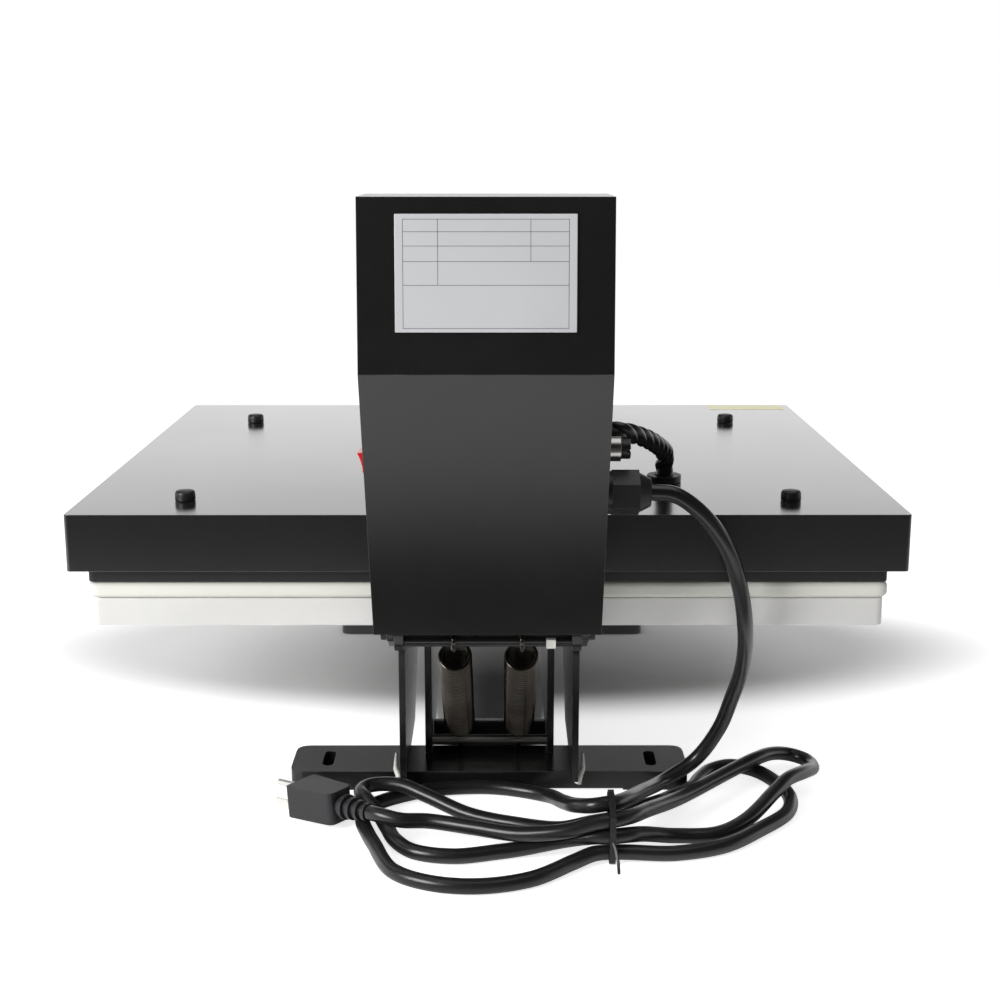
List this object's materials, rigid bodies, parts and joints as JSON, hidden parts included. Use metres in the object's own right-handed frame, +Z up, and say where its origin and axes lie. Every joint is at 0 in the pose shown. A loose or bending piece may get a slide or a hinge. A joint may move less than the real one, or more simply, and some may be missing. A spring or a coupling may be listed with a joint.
{
  "type": "clamshell heat press",
  "caption": "Clamshell heat press with a hinged heated head, padded lower platen, rear control box, long lever handle, lifting springs and a tied mains cord.",
  "frame": {"origin": "on the floor, under the middle of the press", "axes": "+Z up, -Y towards the user at the handle, +Y towards the control box and hinge, +X to the left of a viewer behind the press"},
  "size_m": [0.52, 0.654, 0.4195],
  "materials": {
    "powder_black": "satin black powder coat",
    "cast_aluminium": "cast and machined, matt",
    "black_platen": "matt black heat-proof coat",
    "silicone": "matt cream silicone",
    "steel": "machined steel",
    "spring_steel": "dark oiled spring wire",
    "black_plastic": "matt black moulding",
    "red_plastic": "glossy red",
    "silver_label": "silver printed label, left blank",
    "glass_fibre": "matt fibre board",
    "board_green": "green solder mask",
    "foam": "closed-cell foam",
    "smoked_glass": "smoked red window",
    "cord_black": "satin black sheath"
  },
  "bodies": {
    "base": {"rear_foot": "powder_black", "front_foot": "powder_black", "rail_left": "powder_black", "rail_right": "powder_black", "cheek_left": "powder_black", "cheek_right": "powder_black", "frame_cross_plate": "powder_black", "spring_rod": "steel", "hinge_pin": "steel", "platen_support": "powder_black", "lower_platen": "cast_aluminium", "silicone_pad": "silicone", "spring_left": "spring_steel", "spring_right": "spring_steel", "mains_cord": "cord_black", "cord_hank": "cord_black", "cord_tie": "black_plastic", "mains_plug": "black_plastic"},
    "upper_arm": {"arm_left": "powder_black", "arm_right": "powder_black", "hinge_bush_left": "steel", "hinge_bush_right": "steel", "spring_bar": "steel", "nut_block": "powder_black", "handle_pin": "steel", "box_shell": "powder_black", "control_panel": "powder_black", "display_window": "smoked_glass", "circuit_board": "board_green", "relay": "black_plastic", "data_plate": "silver_label", "rocker_frame": "black_plastic", "fuse_socket": "steel", "cable_gland": "black_plastic", "loom_bush": "black_plastic", "wire_loom": "cord_black"},
    "rocker": {"rocker": "red_plastic"},
    "button_down": {"button_down": "black_plastic"},
    "button_set": {"button_set": "black_plastic"},
    "button_up": {"button_up": "black_plastic"},
    "fuse_cap": {"fuse_cap": "black_plastic"},
    "press_head": {"heat_platen": "black_platen", "insulation_board": "glass_fibre", "press_foot": "steel", "cover": "powder_black", "cover_cap_front_right": "black_plastic", "cover_cap_front_left": "black_plastic", "cover_cap_rear_right": "black_plastic", "cover_cap_rear_left": "black_plastic", "cover_grommet": "black_plastic"},
    "pressure_screw": {"pressure_screw": "steel", "pressure_knob": "black_plastic"},
    "handle": {"lever_left": "powder_black", "lever_right": "powder_black", "grip_rod": "steel", "foam_grip": "foam"},
    "links": {"link_left": "steel", "link_right": "steel"}
  },
  "joints": [
    {"name": "clam_hinge", "type": "hinge", "parent": "base", "child": "upper_arm", "pos_m": [0, 0.235, 0.166], "axis": [-1, 0, 0], "range_deg": [0, 55], "deforming": ["spring_left", "spring_right", "mains_cord"]},
    {"name": "handle_pivot", "type": "hinge", "parent": "upper_arm", "child": "handle", "pos_m": [0, 0.235, 0.254], "axis": [-1, 0, 0], "range_deg": [0, 20]},
    {"name": "link_pivot", "type": "hinge", "parent": "base", "child": "links", "pos_m": [0, 0.2264, 0.15371], "axis": [-1, 0, 0], "range_deg": [0, 39.9]},
    {"name": "head_slide", "type": "slide", "parent": "upper_arm", "child": "press_head", "axis": [0, 0, 1], "range_m": [0, 0.012], "deforming": ["wire_loom"]},
    {"name": "knob_turn", "type": "hinge", "parent": "press_head", "child": "pressure_screw", "pos_m": [0, 0.0145, 0.28], "axis": [0, 0, 1], "range_deg": [0, 1441]},
    {"name": "rocker_tilt", "type": "hinge", "parent": "upper_arm", "child": "rocker", "pos_m": [0.068, 0.26, 0.267], "axis": [0, -1, 0], "range_deg": [0, 12]},
    {"name": "button_down_press", "type": "slide", "parent": "upper_arm", "child": "button_down", "axis": [0, 0.8239, -0.5667], "range_m": [0, 0.0015], "stiffness_N_per_m": 400},
    {"name": "button_set_press", "type": "slide", "parent": "upper_arm", "child": "button_set", "axis": [0, 0.8239, -0.5667], "range_m": [0, 0.0015], "stiffness_N_per_m": 400},
    {"name": "button_up_press", "type": "slide", "parent": "upper_arm", "child": "button_up", "axis": [0, 0.8239, -0.5667], "range_m": [0, 0.0015], "stiffness_N_per_m": 400},
    {"name": "fuse_cap_turn", "type": "hinge", "parent": "upper_arm", "child": "fuse_cap", "pos_m": [-0.082, 0.24, 0.2698], "axis": [-1, 0, 0], "range_deg": [0, 60]}
  ],
  "couplings": [
    {"joint": "handle_pivot", "follows": "clam_hinge", "ratio": 0.3636},
    {"joint": "link_pivot", "follows": "clam_hinge", "ratio": 0.724},
    {"joint": "knob_turn", "follows": "head_slide", "rad_per_m": 2094.4}
  ]
}
